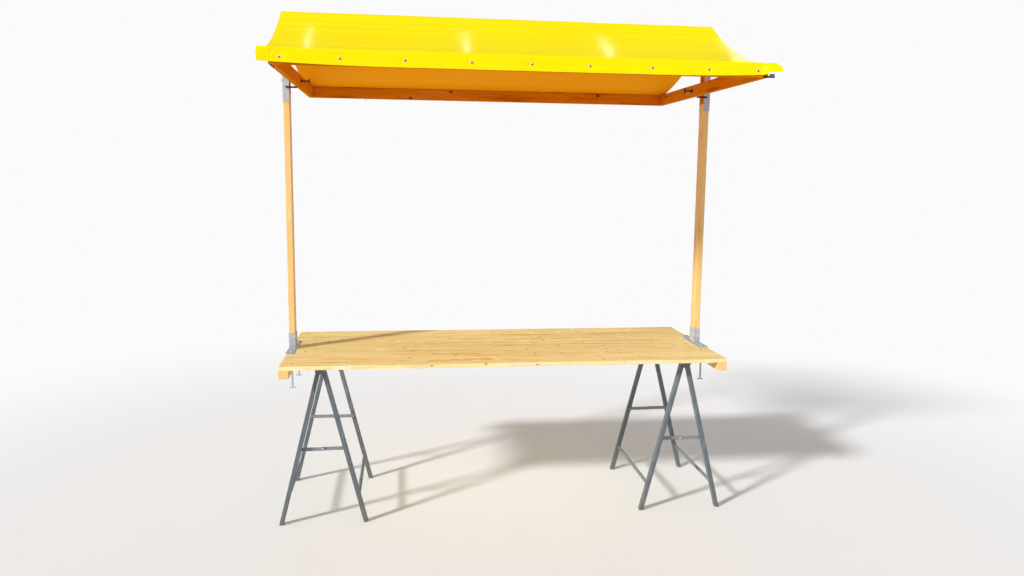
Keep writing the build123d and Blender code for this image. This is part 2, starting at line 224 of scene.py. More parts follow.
def timber(name, early, late, grain, staves=False, shine=0.25, figure_and_glints=0.35):
    """Pine with growth rings, fibres and knots. Grain is the axis that the fibres run along, and the last
    argument sets how strongly the pale fibres show, which are partly painted glints along the grain. On
    staves, faces that don't look up are painted paler as painted light."""
    look = bpy.context.scene.stall_timber
    recipe = Recipe(name)
    along = recipe.stretch((1, 1, 1), GRAIN_TURNS[grain])
    across = recipe.part(along, "Y")
    depth = recipe.part(along, "Z")
    stave_tone = 0.5
    shift = 0.0
    if staves:
        bricks = recipe.plug(recipe.add("TexBrick", offset=0.37, offset_frequency=2, squash=1.0),
                             Vector=recipe.place, Color1=(0, 0, 0), Color2=(1, 1, 1),
                             Mortar=(0.5, 0.5, 0.5), Scale=1.0, Mortar_Size=0.0,
                             Brick_Width=look.stave_length, Row_Height=look.stave_width)
        stave_tone = bricks.outputs["Color"]
        shift = recipe.maths("MULTIPLY", stave_tone, 37.0)
    sweep = recipe.noise(recipe.stretch((0.9, 7, 7), vector=along), detail=2.0)
    rings = recipe.maths("DIVIDE", recipe.maths("ADD", across, recipe.maths("MULTIPLY", depth, 0.7)),
                         look.ring_pitch)
    rings = recipe.maths("ADD", rings, recipe.maths("MULTIPLY", sweep, 9.0))
    rings = recipe.maths("FRACT", recipe.maths("ADD", rings, shift))
    late_wood = recipe.between(rings, 0.35, 0.98)
    fibre = recipe.noise(recipe.stretch((3, 240, 240), vector=along), detail=4.0, roughness=0.7)
    streak = recipe.noise(recipe.stretch((2.2, 28, 28), vector=along), detail=4.0, roughness=0.65)
    cloud = recipe.noise(recipe.stretch((1.1, 5, 5), vector=along), detail=2.0)
    fleck = recipe.noise(recipe.stretch((13, 44, 44), vector=along), detail=3.0)
    # pale marks pale fibres and painted glints along the grain.
    pale = look.pale_fibre_and_glint_colour[:]
    colour = recipe.mix(recipe.maths("MULTIPLY", late_wood, 0.3), early, late)
    colour = recipe.mix(recipe.between(streak, 0.52, 0.66, 0, 0.6 * figure_and_glints), colour, pale)
    colour = recipe.mix(recipe.between(streak, 0.46, 0.34, 0, 0.85), colour, late)
    colour = recipe.mix(recipe.between(fibre, 0.3, 0.7, 0.16, 0), colour, late)
    colour = recipe.mix(recipe.between(cloud, 0.35, 0.7, 0, 0.25), colour, late)
    colour = recipe.mix(recipe.between(fleck, 0.58, 0.66, 0, 0.9 * figure_and_glints), colour, pale)
    if staves:
        tone = recipe.between(stave_tone, 0.0, 1.0, 0.95, 1.03)
        grey = recipe.add("CombineColor")
        for channel in range(3):
            recipe.feed(grey.inputs[channel], tone)
        colour = recipe.mix(1.0, colour, grey.outputs[0], "MULTIPLY")
        gap = recipe.maths("PINGPONG", recipe.part(recipe.place, "Y"), look.stave_width / 2)
        joint = recipe.between(recipe.maths("ABSOLUTE", gap), 0.0004, 0.0016, 0.8, 0)
        colour = recipe.mix(joint, colour, late)
        # Faces that don't look up, such as the panel's edges, are painted paler: painted light.
        upward = recipe.maths("ABSOLUTE", recipe.part(recipe.add("TexCoord").outputs["Normal"], "Z"))
        colour = recipe.mix(recipe.between(upward, 0.8, 0.4, 0, 0.5), colour, pale)

    spread, rare = ((16, 22, 40), 0.12) if staves else ((10, 14, 12), 0.4)
    distance, cell = recipe.cells(recipe.stretch(spread, vector=along), 1.0)
    chosen = recipe.between(recipe.part(cell, "X"), rare, rare + 0.02)
    knot = recipe.maths("MULTIPLY", recipe.between(distance, 0.12, 0.07), chosen)
    halo = recipe.maths("MULTIPLY", recipe.between(distance, 0.2, 0.08, 0, 0.5), chosen)
    colour = recipe.mix(halo, colour, late)
    colour = recipe.mix(recipe.maths("MULTIPLY", knot, 0.9), colour, look.knot_colour[:])

    height = recipe.maths("ADD", recipe.maths("MULTIPLY", fibre, 0.5),
                          recipe.maths("MULTIPLY", late_wood, 0.3))
    height = recipe.maths("SUBTRACT", height, recipe.maths("MULTIPLY", knot, 0.6))
    roughness = recipe.between(fibre, 0.3, 0.7, 1.04 - look.gloss, 0.86 - look.gloss)
    return recipe.surface(colour, roughness, height, 0.0004, Specular_IOR_Level=shine)


def coated_cloth(name, colour, sheen):
    """Coated cloth: a fine weave under a clear coating, with faint ribs along the stall, whose hollows are
    painted darker as painted shade.
    """
    recipe = Recipe(name)
    rib = recipe.noise(recipe.stretch((0.4, 42, 42)), detail=3.0, roughness=0.5)
    cloud = recipe.noise(recipe.stretch((1.4, 4, 4)), detail=3.0)
    warp = recipe.maths("SINE", recipe.maths("MULTIPLY", recipe.part(recipe.place, "X"), 5200.0))
    weft = recipe.maths("SINE", recipe.maths("MULTIPLY", recipe.part(recipe.place, "Y"), 5200.0))
    weave = recipe.maths("MULTIPLY", warp, weft)
    # deep is painted shade in the ribs' hollows, and a deeper random tone in the clouds.
    deep = tuple(channel * shade for channel, shade in zip(colour, (0.97, 0.88, 0.8)))
    tone = recipe.mix(recipe.between(rib, 0.36, 0.6, 0.6, 0), colour, deep)
    tone = recipe.mix(recipe.between(cloud, 0.4, 0.7, 0, 0.4), tone, deep)
    height = recipe.maths("ADD", rib, recipe.maths("MULTIPLY", weave, 0.012))
    roughness = recipe.between(cloud, 0.3, 0.7, 0.5, 0.62)
    return recipe.surface(tone, roughness, height, 0.0015, Specular_IOR_Level=0.04, Coat_Weight=sheen,
                          Coat_Roughness=0.12)


def galvanised(name):
    """Hot dipped steel: crystals of zinc, dull stains and small scratches."""
    look = bpy.context.scene.stall_steel
    recipe = Recipe(name)
    distance, cell = recipe.cells(recipe.place, 1 / look.spangle)
    crystal = recipe.part(cell, "X")
    stain = recipe.noise(recipe.place, 16.0, 4.0, 0.6)
    scratch = recipe.noise(recipe.stretch((420, 420, 24)), detail=2.0)
    colour = recipe.mix(recipe.maths("MULTIPLY", crystal, 0.5), look.zinc_colour[:], look.zinc_dark[:])
    colour = recipe.mix(recipe.between(stain, 0.52, 0.72, 0, 0.6), colour, look.zinc_dark[:])
    roughness = recipe.maths("ADD", recipe.maths("MULTIPLY", crystal, 0.16),
                             recipe.between(stain, 0.3, 0.7, 0.34, 0.5))
    height = recipe.maths("ADD", recipe.maths("MULTIPLY", distance, 0.4),
                          recipe.maths("MULTIPLY", scratch, 0.2))
    return recipe.surface(colour, roughness, height, 0.0002, Metallic=0.35)


def trestle_paint(name, paint):
    """Blue grey paint, rubbed along its length, chipped here and there and dirty near the ground."""
    look = bpy.context.scene.stall_steel
    recipe = Recipe(name)
    rub = recipe.noise(recipe.stretch((60, 60, 9)), detail=4.0, roughness=0.6)
    grit = recipe.noise(recipe.place, 260.0, 3.0, 0.6)
    chip = recipe.noise(recipe.place, 70.0, 5.0, 0.65)
    low = recipe.between(recipe.part(recipe.place, "Z"), 0.22, 0.0, 0, 0.75)
    colour = recipe.mix(recipe.between(rub, 0.5, 0.7, 0, 0.65), paint, look.paint_worn[:])
    colour = recipe.mix(recipe.maths("MULTIPLY", low, recipe.between(grit, 0.35, 0.6)), colour,
                        look.dirt_colour[:])
    colour = recipe.mix(recipe.between(chip, 0.69, 0.72, 0, 0.8), colour, look.rust_colour[:])
    roughness = recipe.between(rub, 0.35, 0.7, 0.4, 0.58)
    height = recipe.maths("SUBTRACT", recipe.maths("MULTIPLY", grit, 0.35),
                          recipe.between(chip, 0.68, 0.72, 0, 0.8))
    return recipe.surface(colour, roughness, height, 0.0003, Specular_IOR_Level=0.5)


def dark_screw(name, brown):
    """Browned steel of bolts, pins and small screws, in the brown it is given; for the bolts and pins that
    brown is partly painted shade and painted dark reflections.
    """
    recipe = Recipe(name)
    grain = recipe.noise(recipe.place, 900.0, 2.0)
    worn = tuple(channel * 1.8 + 0.01 for channel in brown)
    colour = recipe.mix(recipe.between(grain, 0.35, 0.65), brown, worn)
    return recipe.surface(colour, recipe.between(grain, 0.3, 0.7, 0.5, 0.7), grain, 0.0001,
                          Specular_IOR_Level=0.15)


WASHER_COLOURS = (shown(246, 228, 128), shown(232, 206, 92))


def pale_washer(name):
    """Pale plastic of the cup washers under the canopy's screws."""
    recipe = Recipe(name)
    grain = recipe.noise(recipe.place, 500.0, 2.0)
    colour = recipe.mix(recipe.between(grain, 0.3, 0.7), *WASHER_COLOURS)
    return recipe.surface(colour, recipe.between(grain, 0.3, 0.7, 0.3, 0.45), grain, 0.0001)


def plain_floor(name):
    """Pale floor that takes the shadow near the stall and runs into the white background far away."""
    recipe = Recipe(name)
    speck = recipe.noise(recipe.place, 90.0, 3.0)
    pale = bpy.context.scene.stall_studio.floor_colour[:]
    deep = tuple(channel * 0.97 for channel in pale)
    recipe.surface(recipe.mix(speck, pale, deep), 0.85, Specular_IOR_Level=0.2)
    away = recipe.add("VectorMath", operation="LENGTH")
    recipe.feed(away.inputs[0], recipe.place)
    path = recipe.add("LightPath")
    seen = recipe.maths("MAXIMUM", path.outputs["Is Camera Ray"], path.outputs["Is Glossy Ray"])
    seen = recipe.maths("MAXIMUM", seen, path.outputs["Is Transmission Ray"])
    blend = recipe.add("MixShader")
    glow = recipe.add("Emission")
    recipe.feed(glow.inputs["Strength"], WHITE)
    recipe.feed(blend.inputs[0], recipe.maths("MULTIPLY", seen, recipe.between(away.outputs["Value"], *FADE)))
    recipe.feed(blend.inputs[1], recipe.shader.outputs[0])
    recipe.feed(blend.inputs[2], glow.outputs[0])
    recipe.feed(recipe.tree.nodes["Material Output"].inputs["Surface"], blend.outputs[0])
    return recipe.material


# Shapes

def placed(name, data):
    """A new object for a mesh, lamp or camera, linked into the scene."""
    piece = bpy.data.objects.new(name, data)
    bpy.context.scene.collection.objects.link(piece)
    return piece


def new_piece(name, mesh_maker, material, body):
    """A mesh piece filled by mesh_maker(bmesh), with its material and body."""
    mesh = bpy.data.meshes.new(name)
    shape = bmesh.new()
    mesh_maker(shape)
    bmesh.ops.recalc_face_normals(shape, faces=shape.faces)
    shape.to_mesh(mesh)
    shape.free()
    piece = placed(name, mesh)
    piece.data.materials.append(material)
    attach(piece, body)
    return piece


def shade(piece, sharp=40):
    """Smooth shading with edges sharper than an angle kept crisp."""
    for polygon in piece.data.polygons:
        polygon.use_smooth = True
    piece.data.set_sharp_from_angle(angle=math.radians(sharp))
    return piece


def turned(shape, profile, centre, axis, steps=20):
    """Adds a turned form: profile is (radius, height) pairs along the axis from the centre."""
    axis = Vector(axis).normalized()
    side = axis.orthogonal().normalized()
    other = axis.cross(side)
    rings = []
    for radius, height in profile:
        middle = Vector(centre) + axis * height
        if radius == 0:
            rings.append([shape.verts.new(middle)])
            continue
        ring = []
        for step in range(steps):
            angle = math.tau * step / steps
            ring.append(shape.verts.new(middle + side * radius * math.cos(angle)
                                        + other * radius * math.sin(angle)))
        rings.append(ring)
    for lower, upper in zip(rings, rings[1:]):
        for step in range(steps):
            after = (step + 1) % steps
            corners = [lower[step % len(lower)], lower[after % len(lower)],
                       upper[after % len(upper)], upper[step % len(upper)]]
            unique = list(dict.fromkeys(corners))
            if len(unique) > 2:
                shape.faces.new(unique)


def bar(shape, low, high, rounding):
    """Adds a box between two corners with its edges rounded."""
    made = bmesh.ops.create_cube(shape, size=1.0)["verts"]
    low, high = Vector(low), Vector(high)
    for vertex in made:
        vertex.co = Vector((low[i] + (vertex.co[i] + 0.5) * (high[i] - low[i]) for i in range(3)))
    edges = {edge for vertex in made for edge in vertex.link_edges}
    bmesh.ops.bevel(shape, geom=list(edges), offset=rounding, segments=2, affect="EDGES", profile=0.5)


def soften(node, radius, segments=2):
    """Rounds a CAD node's sharp edges by modifiers, which leave its own mesh alone."""
    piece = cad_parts[node]
    weld = piece.modifiers.new("weld", "WELD")
    weld.merge_threshold = 0.00001
    flat = piece.modifiers.new("flat", "DECIMATE")
    flat.decimate_type = "DISSOLVE"
    flat.angle_limit = math.radians(1)
    edge = piece.modifiers.new("edge", "BEVEL")
    edge.width = radius
    edge.segments = segments
    edge.limit_method = "ANGLE"
    edge.angle_limit = math.radians(35)
    piece.modifiers.new("normals", "WEIGHTED_NORMAL").keep_sharp = True
    return piece


def dress(nodes, material, radius):
    for node in nodes:
        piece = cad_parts[node]
        piece.data.materials.clear()
        piece.data.materials.append(material)
        soften(node, radius)


def both(name):
    return [f"{hand}_{name}" for hand, _ in HANDS]


# Canopy

WRAP_GAP = 0.0012
RAIL_ROUND = 0.003
FRONT_SAG = 0.054
BACK_SAG = 0.056
SCREW_PLACES = (-0.906, -0.691, -0.455, -0.21, 0.016, 0.238, 0.481, 0.705, 0.904)
SCREW_LIFT = 0.025
DIMPLE_DEPTH = 0.0016
DIMPLE_RADIUS = 0.03
WAVE_CREST = 0.22
# Ends of the cloth, left and right, at the front hem, front edge, ridge and back edge
CLOTH_ENDS = {"front_hem": (-0.985, 0.994), "front_edge": (-0.985, 0.982), "ridge": (-1.003, 1.006),
              "back_edge": (-0.943, 0.942)}
STRIP_BULGE = 0.003
# How soon the cloth's left and right sides turn from one end to the next
STRIP_TAPER = (6.0, 6.0)
FRONT_TAPER = (2.2, 4.0)
BACK_TAPER = (0.55, 1.5)
# The strip's free ends beyond the front rail: where each folds and how far it swings out, where its
# hem starts to rise, how high and how suddenly, and how high its upper edge stands
FLAPS = {-1: {"fold": 0.95, "tilt": math.radians(5), "from": 0.5, "rise": 0.011, "bend": 2, "lift": 0.0045},
         1: {"fold": 0.918, "tilt": math.radians(30), "from": 0.3, "rise": 0.0145, "bend": 3, "lift": 0.0}}
FLAP_BEND = 0.03
# How far before its fold a free end starts to lift, and how far up the slope that dies away
LIFT_LEAD = 0.03
LIFT_REACH = 0.07
STRIP_HEIGHT = 0.055
# The crease at the right fold: its place at the hem, how far its top leans out, its width and depth
CREASE = (0.917, 0.022, 0.004, 0.0012)
# Small dents in the front strip: place along it, height over the hem, radius and depth
DENTS = ((-0.932, 0.044, 0.011, 0.0026), (-0.84, 0.05, 0.012, 0.0014))
# Steps of the cloth's mesh: up the front strip, along each slope, down behind the back rail and across
STRIP_STEPS = 24
FRONT_STEPS = 118
BACK_STEPS = 84
BEHIND_STEPS = 12
COLUMN_STEPS = 72
# The least distance between two columns of the mesh
COLUMN_GAP = 0.0016


def hung_arc(low, high, sag, steps):
    """Points (y, z) of the arc from low to high that passes sag below the middle of the line."""
    middle = ((low[0] + high[0]) / 2, (low[1] + high[1]) / 2 - sag)
    a, b, c = (Vector(point) for point in (low, middle, high))
    turn = 2 * (a.x * (b.y - c.y) + b.x * (c.y - a.y) + c.x * (a.y - b.y))
    centre = Vector(((a.length_squared * (b.y - c.y) + b.length_squared * (c.y - a.y)
                      + c.length_squared * (a.y - b.y)) / turn,
                     (a.length_squared * (c.x - b.x) + b.length_squared * (a.x - c.x)
                      + c.length_squared * (b.x - a.x)) / turn))
    first, last = a - centre, c - centre
    sweep = first.angle_signed(last)
    return [centre + Matrix.Rotation(-sweep * step / steps, 2) @ first for step in range(steps + 1)]


def cloth_stations():
    """The cloth's line from the front hem to the back hem: (point, slack share, ends) each."""
    front_low, front_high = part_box("front_rail")
    back_low, back_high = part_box("back_rail")
    ridge_low, ridge_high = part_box("ridge_beam")
    ends = {name: Vector(pair) for name, pair in CLOTH_ENDS.items()}
    stations = []

    def run(points, slack, start, end, tapers=(1.0, 1.0)):
        for index, point in enumerate(points):
            way = index / max(1, len(points) - 1)
            sides = [far + (near - far) * (1 - way) ** taper for near, far, taper in zip(start, end, tapers)]
            stations.append((Vector(point), slack(way), Vector(sides)))

    def still(way):
        return 0.0

    def free(way):
        return math.sin(math.pi * way) ** 0.7

    outside = front_low.y - WRAP_GAP
    top = front_high.z + WRAP_GAP
    bends = [math.radians(angle) for angle in range(0, 91, 18)]
    corner = [(outside + RAIL_ROUND * (1 - math.cos(a)), top - RAIL_ROUND * (1 - math.sin(a)))
              for a in bends]
    strip = [(outside, front_low.z + (top - RAIL_ROUND - front_low.z) * step / STRIP_STEPS)
             for step in range(STRIP_STEPS)]
    run(strip[::-1], still, ends["front_edge"], ends["front_hem"], STRIP_TAPER)
    stations.reverse()
    run(corner, still, ends["front_edge"], ends["front_edge"])
    slope = hung_arc((front_high.y, top), (ridge_low.y, ridge_high.z + WRAP_GAP), FRONT_SAG, FRONT_STEPS)
    run(slope, free, ends["front_edge"], ends["ridge"], FRONT_TAPER)
    slope = hung_arc((back_low.y, top), (ridge_high.y, ridge_high.z + WRAP_GAP), BACK_SAG, BACK_STEPS)
    run(slope[::-1], free, ends["ridge"], ends["back_edge"], BACK_TAPER)
    behind = back_high.y + WRAP_GAP
    corner = [(behind - RAIL_ROUND * (1 - math.sin(a)), top - RAIL_ROUND * (1 - math.cos(a)))
              for a in bends]
    run(corner, still, ends["back_edge"], ends["back_edge"])
    strip = [(behind, top - RAIL_ROUND - (top - RAIL_ROUND - back_low.z) * step / BEHIND_STEPS)
             for step in range(1, BEHIND_STEPS + 1)]
    run(strip, still, ends["back_edge"], ends["back_edge"])
    return stations


def cloth_columns():
    """Shares from 0 to 1 across the cloth, closer together round the screws, dents and crease."""
    left, right = CLOTH_ENDS["front_hem"]
    places = {left + (right - left) * step / COLUMN_STEPS for step in range(COLUMN_STEPS + 1)}
    for screw in SCREW_PLACES:
        places.update(screw + offset for offset in (-0.022, -0.014, -0.007, 0, 0.007, 0.014, 0.022))
    for place, _, radius, _ in DENTS:
        places.update(place + radius * step / 4 for step in range(-4, 5))
    places.update(CREASE[0] + step * CREASE[2] / 2 for step in range(-3, 20))
    kept = []
    for place in sorted(places):
        if not kept or place - kept[-1] > COLUMN_GAP:
            kept.append(place)
    return [(place - left) / (right - left) for place in kept]


def cloth_relief(x, point, slack, travel, screw_height):
    """How far the cloth stands out from its even line at one point, in metres."""
    look = bpy.context.scene.stall_cloth
    stray = 0.9 * noise.noise((x * 1.7, travel * 2.0, 0))
    wave = math.cos(math.tau * (x - WAVE_CREST) / look.wave_pitch + stray)
    wave += 0.35 * noise.noise((x * 6.0, travel * 1.5, 4.0))
    relief = slack * look.wave_height * wave
    drift = noise.noise((x * 1.2, travel * 9.0, 2.0))
    relief += slack * look.rib_height * math.sin(math.tau * travel / look.rib_pitch + 2.0 * drift)
    if slack == 0:
        hollows = [(screw, screw_height, DIMPLE_RADIUS, DIMPLE_DEPTH) for screw in SCREW_PLACES]
        if point.x < 0:
            hollows += [(place, screw_height - SCREW_LIFT + up, radius, depth)
                        for place, up, radius, depth in DENTS]
            up = point.y - screw_height + SCREW_LIFT
            crease, lean, width, depth = CREASE
            off = (x - crease - lean * (up / STRIP_HEIGHT) ** 3) / width
            relief -= depth * math.exp(-off * off) * smooth(up / STRIP_HEIGHT * 2 - 0.4)
        for place, height, radius, depth in hollows:
            away = math.hypot(x - place, point.y - height) / radius
            if away < 1:
                relief -= depth * (1 - away * away) ** 2
        relief += DIMPLE_DEPTH + 0.0009 * noise.noise((x * 9.0, travel * 20.0, 7.0))
    return relief


def flap_shift(x, point, hem, edge):
    """How far the strip's free ends swing out about the upper edge: the move in Y and in Z."""
    left, right = CLOTH_ENDS["front_hem"]
    flap, end = (FLAPS[1], right) if x > 0 else (FLAPS[-1], -left)
    drop = max(0.0, edge - point.y)
    turn = flap["tilt"] * smooth((abs(x) - flap["fold"]) / FLAP_BEND)
    rise = flap["rise"] * max(0.0, (abs(x) - flap["from"]) / (end - flap["from"])) ** flap["bend"]
    lift = end_lift(x) * (1 - drop / (edge - hem))
    return -drop * math.sin(turn), drop * (1 - math.cos(turn)) + rise * drop / (edge - hem) + lift


def end_lift(x):
    """How high the cloth's upper front edge stands at one place across it."""
    flap = FLAPS[1] if x > 0 else FLAPS[-1]
    return flap["lift"] * smooth((abs(x) - flap["fold"] + LIFT_LEAD) / FLAP_BEND)


def smooth(value):
    value = min(1.0, max(0.0, value))
    return value * value * (3 - 2 * value)


def cloth_mesh(shape):
    stations = cloth_stations()
    columns = cloth_columns()
    rail_low, rail_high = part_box("front_rail")
    hem = rail_low.z
    edge = rail_high.z + WRAP_GAP
    screw_height = hem + SCREW_LIFT
    rows = []
    travel = 0.0
    for index, (point, slack, ends) in enumerate(stations):
        before = stations[max(0, index - 1)][0]
        after = stations[min(len(stations) - 1, index + 1)][0]
        travel += (point - before).length
        along = (after - before).normalized()
        outward = Vector((-along.y, along.x))
        front_strip = slack == 0 and index < len(stations) / 2
        bulge = 0.0
        if front_strip:
            bulge = STRIP_BULGE * math.sin(math.pi * smooth((point.y - hem) / (edge - hem)))
        row = []
        for column in columns:
            x = ends.x - bulge + (ends.y - ends.x + 2 * bulge) * column
            stand = cloth_relief(x, point, slack, travel, screw_height)
            if front_strip:
                forward, lift = flap_shift(x, point, hem, edge)
            else:
                forward, lift = 0.0, end_lift(x) * (1 - smooth((point.x - rail_high.y) / LIFT_REACH))
            row.append(shape.verts.new((x, point.x + outward.x * stand + forward,
                                        point.y + outward.y * stand + lift)))
        rows.append(row)
    for lower, upper in zip(rows, rows[1:]):
        for step in range(len(columns) - 1):
            shape.faces.new((lower[step], lower[step + 1], upper[step + 1], upper[step]))


def cloth_length():
    points = [station[0] for station in cloth_stations()]
    return sum((after - before).length for before, after in zip(points, points[1:]))


class STALL_OT_hang_canopy(bpy.types.Operator):
    """Hangs the coated cloth over the ridge and wraps it over the front and back rails"""
    bl_idname = "stall.hang_canopy"
    bl_label = "Hang canopy"

    def execute(self, context):
        look = context.scene.stall_cloth
        upper = coated_cloth("canopy_upper", look.top_colour[:], look.sheen)
        # The underside material carries a painted glow of light through the cloth and painted shade.
        under = coated_cloth("canopy_under_painted_glow", look.under_painted_glow_colour[:], 0.0)
        cloth = new_piece("canopy_cloth", cloth_mesh, upper, "stall")
        cloth.data.materials.append(under)
        for polygon in cloth.data.polygons:
            polygon.use_smooth = True
        cloth.data.update()
        if cloth.data.polygons[len(cloth.data.polygons) // 3].normal.z < 0:
            cloth.data.flip_normals()
        body = cloth.modifiers.new("cloth", "SOLIDIFY")
        body.thickness = look.thickness
        body.offset = 0
        body.material_offset = 1
        cloth.modifiers.new("normals", "WEIGHTED_NORMAL")
        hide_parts("canopy")
        cloth_length()
        return {"FINISHED"}


WASHER = ((0.0, -0.0002), (0.0078, -0.0002), (0.008, 0.0002), (0.0072, 0.0009), (0.0056, 0.0014),
          (0.0042, 0.0016), (0.0036, 0.0013), (0.0034, 0.0006))
SCREW_HEAD = ((0.0035, 0.0005), (0.0034, 0.0014), (0.0026, 0.002), (0.0012, 0.0022), (0.0008, 0.001),
              (0.0, 0.0008))
WASHER_SEAT = 0.0004
# How much shorter the row of screws is at the back edge than the back rail
BACK_MARGIN = 0.045


class STALL_OT_fix_canopy(bpy.types.Operator):
    """Drives the canopy's screws with their cup washers through the front and back edges"""
    bl_idname = "stall.fix_canopy"
    bl_label = "Fix canopy"

    def execute(self, context):
        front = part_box("front_rail")[0]
        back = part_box("back_rail")
        faces = (("front", front.y - WRAP_GAP - WASHER_SEAT, -1, front.z + SCREW_LIFT, 0.0),
                 ("back", back[1].y + WRAP_GAP + WASHER_SEAT, 1, back[0].z + SCREW_LIFT, BACK_MARGIN))
        for side, y, way, z, margin in faces:
            reach = back[1].x - margin / 2
            scale = reach / max(SCREW_PLACES) if margin else 1.0
            places = [(x * scale, y, z) for x in SCREW_PLACES]
            plastic = pale_washer(f"{side}_washer_plastic")
            rusted = dark_screw(f"{side}_screw_steel", context.scene.stall_steel.screw_colour[:])
            for name, profile, material in (("washers", WASHER, plastic), ("screws", SCREW_HEAD, rusted)):
                def fill(shape, profile=profile):
                    for place in places:
                        turned(shape, profile, place, (0, way, 0), 18)
                shade(new_piece(f"canopy_{side}_{name}", fill, material, "stall"))
        return {"FINISHED"}


# Timber

class STALL_OT_finish_table(bpy.types.Operator):
    """Finishes the glued pine tabletop and its corner battens"""
    bl_idname = "stall.finish_table"
    bl_label = "Finish table"

    def execute(self, context):
        look = context.scene.stall_timber
        panel = timber("glued_pine", look.panel_colour[:], look.panel_late[:], "X", staves=True, figure_and_glints=1.0)
        batten = timber("batten_pine", look.post_colour[:], look.post_late[:], "Y")
        dress(["tabletop"], panel, look.edge_round)
        dress(both("battens"), batten, look.edge_round)
        return {"FINISHED"}


class STALL_OT_finish_uprights(bpy.types.Operator):
    """Finishes the posts"""
    bl_idname = "stall.finish_uprights"
    bl_label = "Finish uprights"

    def execute(self, context):
        look = context.scene.stall_timber
        pine = timber("post_pine", look.post_colour[:], look.post_late[:], "Z")
        dress(both("post"), pine, look.edge_round)
        return {"FINISHED"}


class STALL_OT_finish_roof(bpy.types.Operator):
    """Finishes the roof timber: arms, rails, struts and ridge"""
    bl_idname = "stall.finish_roof"
    bl_label = "Finish roof"

    def execute(self, context):
        look = context.scene.stall_timber
        for grain, nodes in (("X", ["front_rail", "back_rail", "ridge_beam"]), ("Y", both("arm")),
                             ("Z", both("strut"))):
            # The roof pine's darker orange is painted shade and painted orange light from the cloth.
            pine = timber(f"roof_shaded_pine_{grain.lower()}", look.roof_shaded_colour[:], look.roof_shaded_late[:], grain,
                          shine=0.0, figure_and_glints=0.06)
            dress(nodes, pine, look.edge_round)
        return {"FINISHED"}


# Steel

# The thread's section: shares of the pitch along the rod, and heights over its face
THREAD_PROFILE = ((-0.42, -0.0002), (0.0, 0.00055), (0.42, -0.0002))


def thread(shape, radius, centre, axis, run, pitch, steps=14):
    """Adds a helical ridge round a rod from its centre point along an axis."""
    axis = Vector(axis).normalized()
    side = axis.orthogonal().normalized()
    other = axis.cross(side)
    turns = int(run / pitch)
    previous = None
    for step in range(turns * steps + 1):
        angle = math.tau * step / steps
        outward = side * math.cos(angle) + other * math.sin(angle)
        middle = Vector(centre) + axis * (run * step / (turns * steps))
        ring = [shape.verts.new(middle + axis * pitch * shift + outward * (radius + height))
                for shift, height in THREAD_PROFILE]
        if previous:
            for low, high in ((0, 1), (1, 2)):
                shape.faces.new((previous[low], previous[high], ring[high], ring[low]))
        previous = ring


CLAMP_HEAD_HALF = 0.007 * math.cos(math.radians(30))
CLAMP_ROD = 0.004
CLAMP_HANDLE = 0.003
CLAMP_NUT = 0.005
NAIL_PLACES = ((-0.747, 0.011), (-0.655, -0.007), (-0.397, 0.019), (-0.235, 0.002), (-0.066, 0.017),
               (0.008, 0.013))
SMALL_HEAD = ((0.0, 0.0), (0.0044, 0.0), (0.0044, 0.0006), (0.002, 0.0009), (0.001, 0.0002), (0.0, 0.0002))
BIG_HEAD = ((0.0, 0.0), (0.0036, 0.0), (0.0034, 0.001), (0.0024, 0.0016), (0.0, 0.0018))
NAIL_HEAD = ((0.0, 0.0), (0.0028, 0.0), (0.0026, 0.0005), (0.0, 0.0008))
SCREW_TIP = ((0.0, 0.0), (0.0021, 0.0), (0.0021, 0.006), (0.0013, 0.0085), (0.0, 0.0095))
RIVET_CAP = ((0.0054, 0.0), (0.005, 0.0003), (0.0, 0.00045))
STAY_HALF = 0.008
RIVET_STEP = 0.0002
# How far small heads are sunk into the timber
HEAD_SINK = 0.0002
# How far the arm screws lie inside the back rail's edges, and the screw tips under the left arm from the
# front rail's front and back
ARM_SCREW_INSET = 0.014
TIP_STEPS = (0.006, 0.03)
# The arm bolt's square washer: half its side, its thickness and the rounding of its edges
BOLT_WASHER = 0.008
WASHER_THICK = 0.0016
SHEET_ROUND = 0.0004
# The plate at the right corner: where it starts and ends beside the arm, and where its screw sits
PLATE_INSET = 0.003
PLATE_REACH = 0.028
PLATE_SCREW = 0.008
PLATE_THICK = 0.001
PLATE_HEIGHT = 0.008
PLATE_LIFT = 0.0004
PLATE_SEAT = 0.0001
# The clip on that plate: where it starts, how much shorter it is, and its foot, top, front and back
CLIP_START = 0.008
CLIP_SHORT = 0.0005
CLIP_FOOT = 0.0045
CLIP_HEIGHT = 0.0155
CLIP_FRONT = 0.0008
CLIP_BACK = 0.004
CLIP_ROUND = 0.0007


def clamp_threads(shape, hand, pitch):
    """The threads of the two clamp screws, from the T handle up to the nut."""
    low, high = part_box(f"{hand}_clamp_screws")
    start = low.z + 3 * CLAMP_HANDLE
    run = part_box(f"{hand}_clamp_bar")[0].z - CLAMP_NUT - start
    for y in (low.y + CLAMP_HEAD_HALF, high.y - CLAMP_HEAD_HALF):
        thread(shape, CLAMP_ROD, ((low.x + high.x) / 2, y, start), (0, 0, 1), run, pitch)


